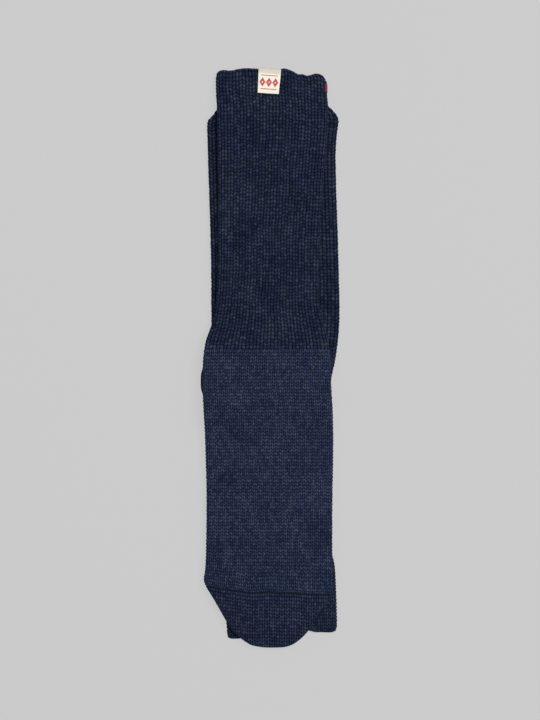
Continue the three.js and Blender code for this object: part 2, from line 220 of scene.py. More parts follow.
# %% Heights
WALL = 2.0
HOLLOW = 0.8
FOOT_HEIGHT = 2 * WALL + HOLLOW
LEG_HEIGHT = FOOT_HEIGHT + 0.6
RIB_FADE = 13
CLOTH_GAP = 0.3
HEEL_LAYER = 1.5
UPPER_HEEL_BASE = 8.4
HEEL_HEIGHT = 2 * HEEL_LAYER
HEEL_Y = -17
HEEL_REACH = 19
HEEL_RAMP = 24
HEEL_FLAT = 2
CUFF_MOUTH = 2.4
CUFF_DEPTH = 26
CUFF_DROP = (188, 209)
TOE_DROP = 1.8
TOE_DROP_OVER = (199, 212)
SIDE_DROP = 0.9
SIDE_DROP_REACH = 8


def heel_lift(y):
    away = np.abs(y - HEEL_Y) - HEEL_REACH - HEEL_FLAT
    return (HEEL_HEIGHT + CLOTH_GAP) * (1 - smooth(away, 0, HEEL_RAMP))


def mouth(sock, station):
    if sock is LOWER:
        return 0 * station
    return (CUFF_MOUTH - HOLLOW) * smooth(station, sock.rim - CUFF_DEPTH, sock.rim)


def cloth_height(sock, station):
    rib = smooth(station, sock.rib_end, sock.rib_end + RIB_FADE)
    return mix(FOOT_HEIGHT, LEG_HEIGHT, rib) + mouth(sock, station)


def underside(sock, x, y):
    """The height of a sock's underside at a place seen from above."""
    lift = heel_lift(y)
    if sock is LOWER:
        return lift
    lying = 2 * lift + cloth_height(LOWER, y) + CLOTH_GAP
    cuff = smooth(y, *CUFF_DROP)
    toe = TOE_DROP * smooth(-y, *TOE_DROP_OVER)
    left, right = edges_at(LOWER.edges, np.clip(y, LOWER.seam, LOWER.rim - CUFF_DEPTH))
    over = np.maximum(np.maximum(left - x, x - right), 0)
    clear = (1 - cuff) * (1 - lift / (HEEL_HEIGHT + CLOTH_GAP))
    side = SIDE_DROP * clear * np.minimum(over / SIDE_DROP_REACH, 1) ** 2
    return lying * (1 - cuff) - toe - side


over_heels = float(underside(UPPER, 0.0, np.array(float(HEEL_Y))))
print(f"upper sock's underside at the heels: {over_heels:.1f} mm")

# %% [markdown]
# ## Points on a flattened tube
#
# A place on a knitted tube is named by its turn, the share of the way round, and its station, the
# place along the sock. Turn 0 is the middle of the right fold, the upper face comes next, the left
# fold is at one half, and the lower face closes the round. The turn is measured along the cloth, so
# stitches keep their width as they go over a fold.

# %% Tube points
TOP_TURN = 0.25
FACE_EDGE = (-0.02, 0.12)
LIP_DEPTH = 12
FULLNESS = 0.5
RIM_STEP = 1.4
SEAM_WAVES = ((0.4, 0.12, 0.0, 1.0), (0.3, 0.29, 0.0, 2.4))
DRIFT = ((0.22, 0.05, 0.11, 0.5), (0.16, 0.16, 0.23, 2.1), (0.1, 0.31, -0.52, 4.0))


def waves(sizes, x, y):
    return sum(size * np.sin(a * x + b * y + start) for size, a, b, start in sizes)


def drift(x, y):
    """The small sideways wandering of the wales."""
    return waves(DRIFT, x, y)


def upper_face(turn):
    """1 on the upper face and 0 on the lower, with a smooth change at the folds."""
    return smooth(np.sin(2 * np.pi * turn), *FACE_EDGE)


def slant(skew, share):
    side = np.where(share < 0.5, skew.left, skew.right)
    return mix(side, skew.middle, np.sin(np.pi * share))


def along(sock, station, share, x):
    """Where a station's line across the sock runs, with the slants of the rim and the toe seam."""
    near_rim = smooth(station, sock.rim - 2 * CUFF_DEPTH, sock.rim)
    near_seam = smooth(-station, -sock.seam - CUFF_DEPTH, -sock.seam)
    near_lip = smooth(station, sock.rim - LIP_DEPTH, sock.rim)
    y = station + near_rim * slant(sock.rim_skew, share) + near_seam * slant(sock.seam_skew, share)
    y = y + near_seam * np.sin(np.pi * share) * waves(SEAM_WAVES, x, 0.0)
    return y + near_lip * read_column(sock.lip, "x", "y", x)


def stadium(turn, left, right, low, top):
    """The section of a flattened tube: two flat faces joined by two half-round folds."""
    radius = (top - low) / 2
    quarter = np.pi * radius / 2
    flat = (right - left) - 2 * radius
    under = (turn % 1) >= 0.5
    run = (turn % 0.5) * 2 * (flat + 2 * quarter)
    angle = np.where(run < quarter, run / radius, np.pi - (flat + 2 * quarter - run) / radius)
    on_face = (run >= quarter) & (run <= quarter + flat)
    angle = np.where(on_face, np.pi / 2, angle)
    centre = np.where(run < quarter, right - radius, left + radius)
    x = np.where(on_face, right - radius - (run - quarter), centre + radius * np.cos(angle))
    rise = radius * np.sin(angle)
    return np.where(under, left + right - x, x), (low + top) / 2 + np.where(under, -rise, rise)


def tube_points(sock, turn, station, low=0.0, top=None, side=0.0):
    """Points of a leg or foot. The skin runs between the heights low and top, and side inwards."""
    left, right = edges_at(sock.edges, station)
    top = cloth_height(sock, station) if top is None else top
    x, height = stadium(turn, left + side - FULLNESS, right - side + FULLNESS, low, top)
    share = np.clip((x - left) / (right - left), 0, 1)
    x = x + drift(x, station) * np.sin(np.pi * share)
    y = along(sock, station, share, x)
    y = y - RIM_STEP * smooth(station, sock.rim - LIP_DEPTH, sock.rim) * (1 - upper_face(turn))
    return np.stack([x, y, underside(sock, x, y) + height], axis=-1)


middle_top = tube_points(UPPER, np.array(TOP_TURN), np.array(100.0))
print("upper leg's top face at station 100:", middle_top.round(2))

# %% [markdown]
# ## Collecting the cloth
#
# A knitted piece is one closed wall: an outer skin with its stitches raised, a plain inner skin and
# the rims between them. The skins are grids, so they could be made by lofting curves or by adding
# displacement to a plane. Here they are collected as arrays, because each point then carries its own
# knit coordinates (which leg of which stitch it is on), its rise, and its pile, which is 0 deep
# between the stitches and 1 on their crests. The rise is applied along the smooth skin's normals.

# %% Cloth collector


def stacked(*parts):
    """Arrays brought to one layout and joined as the coordinates of its points."""
    return np.stack(np.broadcast_arrays(*parts), axis=-1)


class Cloth:
    def __init__(self):
        self.points, self.rises, self.piles = [], [], []
        self.faces, self.knits = [], []
        self.rim_faces, self.rim_knits = [], []
        self.count = 0

    def add_points(self, points, rise, pile):
        """Adds an array of points and gives their numbers, in the same layout."""
        shape = points.shape[:-1]
        size = int(np.prod(shape))
        self.points.append(points.reshape(size, 3))
        self.rises.append(np.broadcast_to(rise, shape).reshape(size))
        self.piles.append(np.broadcast_to(pile, shape).reshape(size))
        self.count += size
        return np.arange(self.count - size, self.count).reshape(shape)

    def add_skin(self, index, knit, inward=False):
        """Faces of a grid that closes round. Faces whose corners coincide close up."""
        index = np.hstack([index, index[:, :1]])
        corners = [(0, 0), (0, 1), (1, 1), (1, 0)]
        if inward:
            corners = corners[::-1]
        rows, columns = index.shape
        cells = [index[a : rows - 1 + a, b : columns - 1 + b] for a, b in corners]
        places = [knit[a : rows - 1 + a, b : columns - 1 + b] for a, b in corners]
        cells = np.stack(cells, axis=-1).reshape(-1, 4)
        places = np.stack(places, axis=-2).reshape(-1, 4, 2)
        whole = (cells != np.roll(cells, -1, axis=1)).all(axis=1)
        self.faces += cells[whole].tolist()
        self.knits += places[whole].reshape(-1, 2).tolist()
        for cell, place in zip(cells[~whole].tolist(), places[~whole].tolist()):
            kept = [i for i in range(4) if cell[i] != cell[i - 1]]
            if len(kept) > 2 and len({cell[i] for i in kept}) == len(kept):
                self.faces.append([cell[i] for i in kept])
                self.knits += [place[i] for i in kept]

    def add_rim(self, first, second, legs, course):
        """Joins two rings of points, each given as numbers and turns, walking round both at once."""
        i = j = 0
        (a, a_turn), (b, b_turn) = first, second
        a_turn, b_turn = [*a_turn, a_turn[0] + 1], [*b_turn, b_turn[0] + 1]
        while i < len(a) or j < len(b):
            step_first = j >= len(b) or (i < len(a) and a_turn[i + 1] <= b_turn[j + 1])
            here, there = int(a[i % len(a)]), int(b[j % len(b)])
            turn = a_turn[min(i, len(a))]
            if step_first:
                i += 1
                self.rim_faces.append([here, there, int(a[i % len(a)])])
            else:
                j += 1
                self.rim_faces.append([here, there, int(b[j % len(b)])])
            self.rim_knits += [[turn * legs, course], [turn * legs, course + 1], [turn * legs, course]]

    def raised(self):
        """The points, moved out by their rises along the normals of the smooth skins."""
        points = np.concatenate(self.points)
        rises = np.concatenate(self.rises)
        normals = np.zeros_like(points)
        for size in (3, 4):
            faces = np.array([face for face in self.faces if len(face) == size], int).reshape(-1, size)
            first, last = points[faces[:, 0]], points[faces[:, size - 1]]
            across = np.cross(points[faces[:, size - 2]] - first, last - points[faces[:, 1]])
            if size == 3:
                across = np.cross(points[faces[:, 1]] - first, last - first)
            for corner in range(size):
                np.add.at(normals, faces[:, corner], across)
        length = np.linalg.norm(normals, axis=1, keepdims=True)
        return points + normals / np.maximum(length, 1e-9) * rises[:, None]

    def build(self, name, material):
        mesh = bpy.data.meshes.new(name)
        faces = self.faces + self.rim_faces
        mesh.from_pydata((self.raised() * MM).tolist(), [], faces)
        knit = mesh.uv_layers.new(name="knit")
        knit.data.foreach_set("uv", np.array(self.knits + self.rim_knits, dtype=np.float32).ravel())
        pile = mesh.attributes.new("pile", "FLOAT", "POINT")
        pile.data.foreach_set("value", np.concatenate(self.piles).astype(np.float32))
        mesh.shade_smooth()
        mesh.materials.append(material)
        piece = bpy.data.objects.new(name, mesh)
        bpy.context.collection.objects.link(piece)
        triangles = sum(len(face) - 2 for face in faces)
        print(f"{name}: {len(mesh.vertices)} points, {triangles} triangles")
        return piece


# %% [markdown]
# ## The stitches
#
# Plain knit seen from its face is a row of upright columns, the wales, and in each wale every stitch
# shows two legs that lean together like a roof. On these socks the roofs point to the cuff. A leg is
# a short strand with a round back. In one-by-one rib every second wale is turned to the inside, so
# the wales that show stand up as ribs with a groove on each side. The grid leans with the legs: its
# rows run along the strands, and so a few rows and columns a stitch give clean round backs.

# %% Stitch relief
PLAIN_WALES = 32
TOE_WALES = 27
RIBS = 18
RIB_COURSE = 2.6
FOOT_COURSE = 2.41
TOE_COURSE = 2.5
ROWS_A_COURSE = 4
PLAIN_DEPTH = 0.8
GROOVE_DEPTH = 1.0
GROOVE_AT_ANKLE = 0.3
GROOVE_FADE = 6
STITCH_DEPTH = 0.85
PLAIN_LEAN = 0.55
RIB_LEAN = 0.34
PLAIN_WANDER = 0.1
RIB_WANDER = 0.3
WANDER_ENDS = 4
WANDER_TURN = 0.35
LEVEL_ROWS = 2.4
UNEVEN = 0.35
YARN_TABLE = (160, 128)

PLAIN_FULL = (-1, -0.667, -0.333, 0, 0.333, 0.667)
PLAIN_SPARE = (-1, 0)
PLAIN_HALF = (-1, -0.5, 0, 0.5)
RIB_FULL = (-1, -0.84, -0.56, -0.28, 0, 0.28, 0.56, 0.84)
RIB_SPARE = (-1, -0.5, 0.5)

# Profiles across a wale, from its middle to its edge: places first, and then how high it stands.
PLAIN_BACK = ([0, 0.3, 0.55, 0.75, 1], [0.14, 0.85, 1, 0.9, 0.14])
RIB_BACK = ([0, 0.28, 0.56, 0.84, 1], [0.08, 0.85, 1, 0.75, 0])
RIB_SIDE = ([0, 0.84, 1], [1, 0.85, 0])
STRAND_POWER = 0.9
PLAIN_GAP = 0.16
RIB_GAP = 0.26
GROOVE_SHADE = 0.6
SHALLOW_LIGHT = 0.12


def strand(course):
    """A strand's round back: 0 where it meets the one before it, and 1 on its crest."""
    return np.sin(np.pi * (course % 1)) ** STRAND_POWER


def unevenness(leg, course, seed):
    """A size for every leg of every stitch, a little different each time."""
    table = np.random.default_rng(seed).random(YARN_TABLE)
    sizes = table[leg.astype(int) % YARN_TABLE[0], course.astype(int) % YARN_TABLE[1]]
    return 1 - UNEVEN * sizes


def plain_relief(across, course, size, groove):
    """The rise and pile of plain knit. across is 0 in the middle of a wale and 1 at its edge."""
    pile = size * np.interp(across, *PLAIN_BACK) * mix(PLAIN_GAP, 1, strand(course))
    return PLAIN_DEPTH * (pile - 1), pile


def rib_relief(across, course, size, groove):
    """The rise and pile of rib. The turned wale lies in the groove, where across nears 1."""
    rib = np.interp(across, *RIB_SIDE)
    stitch = size * np.interp(across, *RIB_BACK) * mix(RIB_GAP, 1, strand(course))
    shut = groove / GROOVE_DEPTH
    pile = stitch * (1 - GROOVE_SHADE * shut * (1 - rib)) * (1 + SHALLOW_LIGHT * (1 - shut))
    return groove * (rib - 1) + STITCH_DEPTH * (stitch - 1), pile


def wale_columns(wales, full, spare, is_full):
    """The grid's columns round a tube: their wale coordinate and how far across the wale they are."""
    places, across = [], []
    for wale in range(2 * wales):
        for place in full if is_full(wale) else spare:
            places.append(wale + (place + 1) / 2)
            across.append(abs(place))
    return np.array(places), np.array(across)


def course_rows(courses):
    return np.arange(courses * ROWS_A_COURSE + 1) / ROWS_A_COURSE


def wandering(wale, course, wander, courses, seed):
    """How far a wale's stitches run ahead of their neighbours', in courses, with none at the ends."""
    starts = np.random.default_rng(seed).random(YARN_TABLE[0])
    start = 2 * np.pi * starts[wale.astype(int) % YARN_TABLE[0]]
    calm = smooth(course, 0, WANDER_ENDS) * (1 - smooth(course, courses - WANDER_ENDS, courses))
    return wander * calm * np.sin(WANDER_TURN * course + start)


def leaning(course, across, lean, courses, level_start):
    """How many courses down a point lies: rows lean along the legs, but end level."""
    fade = 1 - smooth(course, courses - LEVEL_ROWS, courses)
    if level_start:
        fade = fade * smooth(course, 0, level_start)
    return np.clip(course + lean * across * fade, 0, courses)


# %% [markdown]
# ## The dyed yarn
#
# The yarn is a heather: navy fibres spun with some lighter blue-grey ones, so its colour wanders
# along the strand, from stitch to stitch and from course to course. The material reads the knit
# coordinates, which number the legs and courses, and the pile, which darkens the depths between the
# stitches where little light gets in. Sums in a shader are easier to read as Python expressions, so
# one small class gives sockets their arithmetic, and one method makes every other node.

# %% Shader tools


class Socket:
    """A number in a shader, with Python's arithmetic."""

    def __init__(self, shader, output):
        self.shader, self.output = shader, output

    def _math(self, operation, *values):
        return self.shader.number("ShaderNodeMath", {"operation": operation}, dict(enumerate(values)))

    def __add__(self, other):
        return self._math("ADD", self, other)

    def __radd__(self, other):
        return self._math("ADD", other, self)

    def __sub__(self, other):
        return self._math("SUBTRACT", self, other)

    def __rsub__(self, other):
        return self._math("SUBTRACT", other, self)

    def __mul__(self, other):
        return self._math("MULTIPLY", self, other)

    def __rmul__(self, other):
        return self._math("MULTIPLY", other, self)

    def floor(self):
        return self._math("FLOOR", self)

    def part(self):
        return self._math("FRACT", self)

    def wave(self):
        return self._math("SINE", self)

    def size(self):
        return self._math("ABSOLUTE", self)

    def clear_of(self, low, high):
        """0 up to low, 1 from high on, and smooth between."""
        ranges = {"interpolation_type": "SMOOTHSTEP"}
        return self.shader.number("ShaderNodeMapRange", ranges, {0: self, 1: low, 2: high})


class Shader:
    """A new material and what goes into its one Principled surface."""

    def __init__(self, name):
        self.material = bpy.data.materials.new(name)
        self.material.use_nodes = True
        self.nodes, self.links = self.material.node_tree.nodes, self.material.node_tree.links
        self.surface = self.nodes["Principled BSDF"]

    def node(self, kind, settings=None, inputs=None):
        node = self.nodes.new(kind)
        for name, value in (settings or {}).items():
            if name == "stops":
                ramp = node.color_ramp
                while len(ramp.elements) < len(value):
                    ramp.elements.new(0.5)
                for element, (position, colour) in zip(ramp.elements, value):
                    element.position, element.color = position, (*colour, 1)
            else:
                setattr(node, name, value)
        self.feed(node, inputs or {})
        return node

    def feed(self, node, inputs):
        for name, value in inputs.items():
            value = value.output if isinstance(value, Socket) else value
            if isinstance(value, bpy.types.NodeSocket):
                self.links.new(value, node.inputs[name])
            else:
                node.inputs[name].default_value = value

    def number(self, kind, settings=None, inputs=None, output=0):
        return Socket(self, self.node(kind, settings, inputs).outputs[output])

    def vector(self, x, y):
        return self.node("ShaderNodeCombineXYZ", None, {0: x, 1: y}).outputs[0]

    def noise(self, place, scale, detail=2.0, roughness=0.5):
        settings = {"Vector": place, "Scale": scale, "Detail": detail, "Roughness": roughness}
        return self.number("ShaderNodeTexNoise", None, settings)

    def ramp(self, factor, stops):
        return self.node("ShaderNodeValToRGB", {"stops": stops}, {0: factor}).outputs[0]

    def blend(self, factor, a, b, blend_type="MIX"):
        settings = {"data_type": "RGBA", "blend_type": blend_type}
        return self.node("ShaderNodeMix", settings, {0: factor, 6: a, 7: b}).outputs[2]

    def bump(self, height, distance, strength=1.0):
        inputs = {"Height": height, "Distance": distance, "Strength": strength}
        return self.node("ShaderNodeBump", None, inputs).outputs[0]


# %% Heather yarn
NAVY_DEEP = (0.0125, 0.0220, 0.066)
NAVY = (0.0395, 0.0590, 0.139)
NAVY_PALE = (0.108, 0.134, 0.208)
FLECK = (0.175, 0.205, 0.29)
DEEPEST = 0.14
YARN_BUMP = 0.00016


def heather_yarn(name, tone_and_shade):
    shader = Shader(name)
    uv = shader.node("ShaderNodeUVMap", {"uv_map": "knit"}).outputs[0]
    split = shader.node("ShaderNodeSeparateXYZ", None, {0: uv})
    leg, course = Socket(shader, split.outputs[0]), Socket(shader, split.outputs[1])
    place = shader.node("ShaderNodeTexCoord").outputs["Object"]
    pile = shader.number("ShaderNodeAttribute", {"attribute_name": "pile"}, None, "Fac")

    number = {"Vector": shader.vector(leg.floor(), course.floor())}
    stitch = shader.number("ShaderNodeTexWhiteNoise", {"noise_dimensions": "2D"}, number)
    strand_shade = shader.noise(shader.vector(leg * 0.19, course.floor() * 0.71), 1.0, 3.0, 0.6)
    patches = shader.noise(place, 55.0, 3.0, 0.55)
    fibres = shader.noise(shader.vector(leg * 2.2, course * 5.0), 1.0, 3.0, 0.65)
    hairs = shader.noise(shader.vector(leg * 5.0 + course * 2.0, course * 16.0), 1.0, 2.0, 0.6)

    shade = 0.5 + 0.32 * (stitch - 0.5) + 0.34 * (strand_shade - 0.5) + 0.45 * (patches - 0.5)
    shade = shade + 1.75 * (fibres - 0.5) + 0.8 * (hairs - 0.5)
    stops = [(0.12, NAVY_DEEP), (0.5, NAVY), (0.86, NAVY_PALE)]
    yarn = shader.ramp(shade, stops)
    flecks = hairs.clear_of(0.64, 0.78) * fibres.clear_of(0.45, 0.62)
    yarn = shader.blend(flecks * 0.6, yarn, (*FLECK, 1))
    # Painted shade: the colour is darkened where the pile is low, between the stitches, and multiplied
    # by the part's tone, which is partly painted shade.
    depth = pile.clear_of(0.0, 0.9) * (1 - DEEPEST) + DEEPEST
    colour = shader.blend(1.0, yarn, depth * tone_and_shade, "MULTIPLY")

    ply = (leg * 9.0 + course * 12.0).wave()
    shader.feed(
        shader.surface,
        {
            "Base Color": colour,
            "Roughness": 0.78 + 0.2 * fibres,
            "Normal": shader.bump(ply * 0.35 + hairs * 1.2 + fibres * 0.8, YARN_BUMP, 0.8),
            "Sheen Weight": 0.06,
            "Sheen Roughness": 0.45,
            "Sheen Tint": (0.55, 0.65, 0.9, 1),
            "Specular IOR Level": 0.04,
        },
    )
    return shader.material


# One yarn, multiplied by a tone for each part. The tones are partly the yarn's own and partly painted
# shade: the legs, whose ribs lie deeper in shade, and the whole lower sock, which lies under the upper
# one, are made darker.
YARN_TONE_AND_SHADE = {
    "upper": {"leg": 0.52, "foot": 0.80, "heel": 0.80, "toe": 0.615},
    "lower": {"leg": 0.49, "foot": 0.72, "heel": 0.72, "toe": 0.53},
}
yarns = {}
for sock_name, tones_and_shade in YARN_TONE_AND_SHADE.items():
    for part, tone_and_shade in tones_and_shade.items():
        yarns[sock_name, part] = heather_yarn(f"{sock_name}_{part}_heather", tone_and_shade)
print("yarns:", len(yarns))

# %% [markdown]
# ## Knitting a leg or a foot
#
# One function knits any stretch of tube: it lays out the columns and leaning rows, reads the points
# and the relief, rounds the wall's ends, adds the plain inner skin and joins the two with rims. The
# stretches that nothing hides get every stitch. What lies hidden between the socks gets fewer points.

# %% Knit a tube
INNER_COLUMNS = 48
INNER_STEP = 8.0
INNER_PILE = 0.7
SWELL = ((0.22, 0.045, 0.031, 0.3), (0.16, -0.06, 0.052, 1.7), (0.12, 0.11, 0.017, 4.1))


def swell(x, y):
    """Soft unevenness of cloth that lies freely."""
    return waves(SWELL, x, y)


def rounding(distance, radius):
    """How far a rounded end lies inside the skin, at a distance from that end."""
    share = 1 - np.clip(distance / radius, 0, 1)
    return radius * (1 - np.sqrt(np.maximum(1 - share * share, 0)))


def knit_tube(
    name, sock, start, end, columns, wales, course, lean, wander, relief, ends, level_start, material
):
    """ends gives the radius that rounds the wall's start and its end, on the upper face only there."""
    seed = len(name)
    courses = round((start - end) / course)
    step = (start - end) / courses
    wale, across = columns
    turn = wale / (2 * wales)
    rows = course_rows(courses)[:, None]
    down = leaning(rows, across[None, :], lean, courses, level_start)
    down = down + wandering(wale, rows, wander, courses, seed)
    station = start - down * step
    around = np.broadcast_to(turn, station.shape)
    inset = rounding(start - station, ends[0]) + rounding(station - end, ends[1]) * upper_face(around)
    top = cloth_height(sock, station) - inset
    points = tube_points(sock, around, station, inset, top, side=inset)
    points[..., 2] += swell(points[..., 0], points[..., 1]) * upper_face(around)
    size = unevenness(*np.broadcast_arrays(2 * wale, rows), seed)
    deepening = smooth(station, sock.rib_end, sock.rib_end + GROOVE_FADE)
    groove = mix(GROOVE_AT_ANKLE, GROOVE_DEPTH, deepening)
    rise, pile = relief(*np.broadcast_arrays(across, rows, size, groove))

    cloth = Cloth()
    outer = cloth.add_points(points, rise, pile)
    cloth.add_skin(outer, stacked(2 * np.append(wale, 2 * wales), rows))

    inner_rows = max(round((start - end) / INNER_STEP), 2)
    inner_station = np.linspace(start - ends[0], end, inner_rows)[:, None]
    inner_turn = np.arange(INNER_COLUMNS) / INNER_COLUMNS
    inner_top = WALL + HOLLOW + mouth(sock, inner_station)
    hidden = tube_points(sock, inner_turn[None, :], inner_station, WALL, inner_top, side=WALL)
    inner = cloth.add_points(hidden, 0.0, INNER_PILE)
    inner_knit = stacked(np.append(inner_turn, 1) * 4 * wales, (start - inner_station) / step)
    cloth.add_skin(inner, inner_knit, inward=True)
    cloth.add_rim((outer[0], turn), (inner[0], inner_turn), 4 * wales, 0)
    cloth.add_rim((inner[-1], inner_turn), (outer[-1], turn), 4 * wales, courses)
    return cloth.build(name, material)


# %% Legs and feet
TUCK = 2.4
RIM_RADIUS = 0.9
ANKLE_RADIUS = 0.7
SEAM_RADIUS = 1.5
SEAM_MEET = 0.05
# How many wales beside each fold have every stitch on the hidden face: of the leg, and of the foot.
FULL_BY_FOLDS = {"upper": (2, 3), "lower": (5, 6)}


def near_folds(wales, reach):
    """True for the wales whose distance from a fold, counted in wales, is under reach."""
    return lambda wale: min(wale % wales, wales - 1 - wale % wales) < reach


def seen_from_above(wales, reach):
    folds = near_folds(wales, reach)
    return lambda wale: wale < wales or folds(wale)


def seen_from_below(wales, reach):
    folds = near_folds(wales, reach)
    return lambda wale: wale >= wales or folds(wale)


legs = {}
feet = {}
for sock, is_full in ((UPPER, seen_from_above), (LOWER, seen_from_below)):
    leg_reach, foot_reach = FULL_BY_FOLDS[sock.name]
    legs[sock.name] = knit_tube(
        f"{sock.name}_leg_rib",
        sock,
        start=sock.rim,
        end=sock.rib_end - TUCK,
        columns=wale_columns(RIBS, RIB_FULL, RIB_SPARE, is_full(RIBS, leg_reach)),
        wales=RIBS,
        course=RIB_COURSE,
        lean=RIB_LEAN,
        wander=RIB_WANDER,
        relief=rib_relief,
        ends=(RIM_RADIUS, ANKLE_RADIUS),
        level_start=LEVEL_ROWS,
        material=yarns[sock.name, "leg"],
    )
    full = PLAIN_FULL if sock is UPPER else PLAIN_HALF
    feet[sock.name] = knit_tube(
        f"{sock.name}_foot_knit",
        sock,
        start=sock.rib_end,
        end=sock.seam - SEAM_MEET,
        columns=wale_columns(PLAIN_WALES, full, PLAIN_SPARE, is_full(PLAIN_WALES, foot_reach)),
        wales=PLAIN_WALES,
        course=FOOT_COURSE,
        lean=PLAIN_LEAN,
        wander=PLAIN_WANDER,
        relief=plain_relief,
        ends=(ANKLE_RADIUS, SEAM_RADIUS),
        level_start=0,
        material=yarns[sock.name, "foot"],
    )

# %% [markdown]
# ## Knitting a toe
#
# A toe pocket is knitted round the tip, so its wales run straight down the upper face, over the edge
# and back along the lower one, and the outline cuts them off at a slant at each side. A tube that
# narrows would squeeze the stitches together at the tip. So every column here keeps its width, goes
# down as far as the outline lets it, and then rounds over the edge to meet the lower face.

# %% Knit a toe
HALF_FOOT = FOOT_HEIGHT / 2
LONGEST_TOE = 52.0
TOE_INNER_ROWS = 12
TOE_INNER_BEGIN = 0.1
TOE_SEED = 5
EDGE_TRIES = 4
EDGE_STEP = 0.5
STEEPEST = 4
BORDER_RISE = -0.35
BORDER_OVER = 0.6


def tip_edge(sock, x):
    return read_column(sock.tip, "x", "y", x)


def pocket_points(sock, turn, reach, radius, side, begin):
    """Points of a toe pocket. reach is the way down each column, from the seam or from begin."""
    flat_left, flat_right = edges_at(sock.side_lines, sock.seam)
    x, height = stadium(turn, flat_left + side, flat_right - side, -radius, radius)
    share = np.clip((x - flat_left) / (flat_right - flat_left), 0, 1)
    inner_share = (x - flat_left - side) / (flat_right - flat_left - 2 * side)
    start = along(sock, sock.seam, share, x) - begin
    x_end, edge = x, sock.tip[0].y + 0 * x
    for _ in range(EDGE_TRIES):
        left, right = edges_at(sock.side_lines, edge)
        x_end = mix(left + side, right - side, inner_share)
        edge = tip_edge(sock, x_end)
    slope = (tip_edge(sock, x_end + EDGE_STEP) - tip_edge(sock, x_end - EDGE_STEP)) / (2 * EDGE_STEP)
    lean = np.sqrt(1 + slope**2)
    edge = np.minimum(edge + side * lean, start)
    room = start - edge
    bend = radius * np.minimum(lean, STEEPEST)
    first_angle = np.arccos(np.clip(1 - room / bend, 0, 1))
    quarter = np.sqrt((bend**2 + radius**2) / 2)
    flat = np.maximum(room - bend, 0)
    total = flat + quarter * first_angle
    run = np.minimum(reach, total)
    angle = np.where(run < flat, np.pi / 2, first_angle - (run - flat) / quarter)
    y = np.where(run < flat, start - run, edge + bend * (1 - np.cos(angle)))
    left, right = edges_at(sock.side_lines, y)
    x_here = mix(left + side, right - side, inner_share)
    level = np.sin(np.clip(angle, 0, np.pi / 2))
    ended = reach >= total - 1e-6
    return x_here, y, height * level, ended, 1 - level


def join_tips(numbers, ended):
    """Each column's last point is shared with the column that lies under it."""
    columns = np.arange(numbers.shape[1])
    tips = numbers[np.argmax(ended, axis=0), columns]
    tips = np.minimum(tips, tips[-columns % len(columns)])
    return np.where(ended, tips[None, :], numbers)


def knit_toe(sock, material):
    wale, across = wale_columns(TOE_WALES, PLAIN_FULL, PLAIN_FULL, lambda _: True)
    turn = wale / (2 * TOE_WALES)
    rows = course_rows(round(LONGEST_TOE / TOE_COURSE))[:, None]
    down = rows + PLAIN_LEAN * across[None, :] * smooth(rows, 0, LEVEL_ROWS)
    reach = down * TOE_COURSE
    around = np.broadcast_to(turn, reach.shape)
    x, y, z, ended, border = pocket_points(sock, around, reach, HALF_FOOT, -FULLNESS, -SEAM_MEET)
    inset = rounding(reach, SEAM_RADIUS) * upper_face(around)
    z = z * (1 - inset / HALF_FOOT)
    size = unevenness(*np.broadcast_arrays(2 * wale, rows), TOE_SEED)
    rise, pile = plain_relief(*np.broadcast_arrays(across, rows, size, 0.0))
    rise = mix(rise, BORDER_RISE * PLAIN_DEPTH, smooth(border, 0, BORDER_OVER))
    height = underside(sock, x, y) + HALF_FOOT + z + swell(x, y) * upper_face(around) * (1 - border)
    cloth = Cloth()
    outer = join_tips(cloth.add_points(stacked(x, y, height), rise, pile), ended)
    cloth.add_skin(outer, stacked(2 * np.append(wale, 2 * TOE_WALES), rows))

    inner_turn = np.arange(INNER_COLUMNS) / INNER_COLUMNS
    inner_reach = np.linspace(0, LONGEST_TOE, TOE_INNER_ROWS)[:, None]
    around = np.broadcast_to(inner_turn, (TOE_INNER_ROWS, INNER_COLUMNS))
    x, y, z, ended, _ = pocket_points(sock, around, inner_reach, HOLLOW / 2, WALL, TOE_INNER_BEGIN)
    hidden = stacked(x, y, underside(sock, x, y) + HALF_FOOT + z)
    inner = join_tips(cloth.add_points(hidden, 0.0, INNER_PILE), ended)
    inner_knit = stacked(np.append(inner_turn, 1) * 4 * TOE_WALES, inner_reach / TOE_COURSE)
    cloth.add_skin(inner, inner_knit, inward=True)
    cloth.add_rim((outer[0], turn), (inner[0], inner_turn), 4 * TOE_WALES, 0)
    return cloth.build(f"{sock.name}_toe_knit", material)


# %% Knit a heel
HEEL_ROWS = 96
HEEL_POWER = 2 / 0.62
HEEL_LAYERS = ((0, 0.9), (1, 0.0))
HEEL_CLEAR = 0.02
HEEL_END = 1.02
HEEL_RELIEF = 0.5
HEEL_SEED = 9


